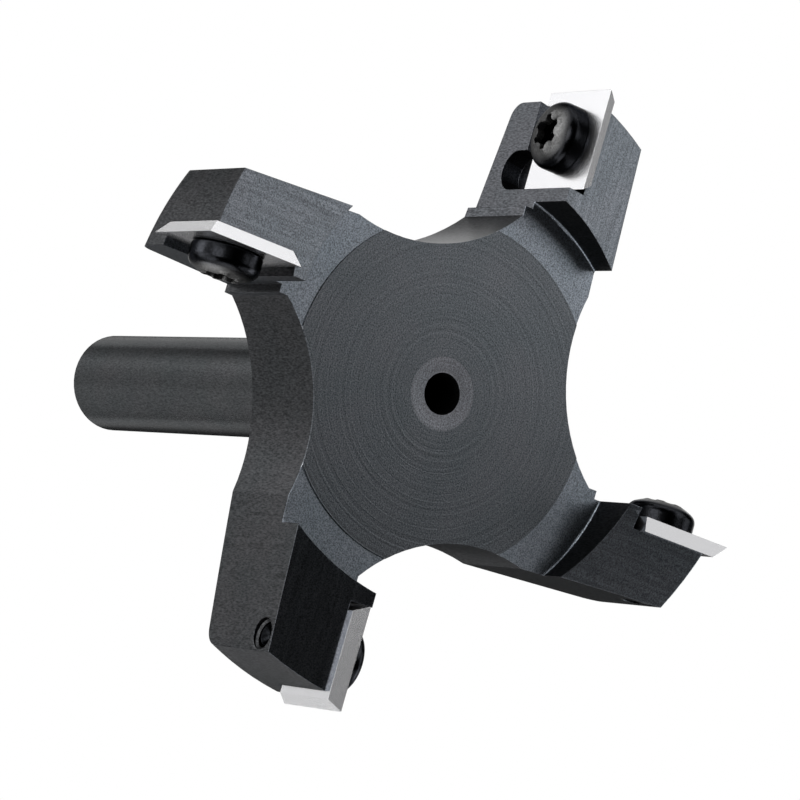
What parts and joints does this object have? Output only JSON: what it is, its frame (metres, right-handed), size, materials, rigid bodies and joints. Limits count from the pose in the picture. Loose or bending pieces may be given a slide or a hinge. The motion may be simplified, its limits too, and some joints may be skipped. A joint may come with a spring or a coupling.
{
  "type": "surfacing router bit",
  "caption": "Face-milling router bit: a dark steel cross-shaped head on a straight round shank, with square carbide inserts clamped by six-lobe screws at the arm ends.",
  "frame": {"origin": "on the axis of rotation, in the cutting plane that holds the lower edges of the four inserts", "axes": "+Z along the axis of rotation, up the shank; +X along the first arm, whose rake face looks towards -Y; the bit cuts turning clockwise seen from the shank"},
  "size_m": [0.0766, 0.0766, 0.0839],
  "materials": {
    "black_oxide": "black oxide on turned and milled steel, satin, with fine tool marks",
    "carbide": "ground bare tungsten carbide, bright",
    "screw_steel": "smooth black oxide, glossy"
  },
  "bodies": {
    "root": {"cutter_body": "black_oxide", "insert_1": "carbide", "insert_2": "carbide", "insert_3": "carbide", "insert_4": "carbide", "clamp_screw_1": "screw_steel", "clamp_screw_2": "screw_steel", "clamp_screw_3": "screw_steel", "clamp_screw_4": "screw_steel"}
  },
  "joints": []
}
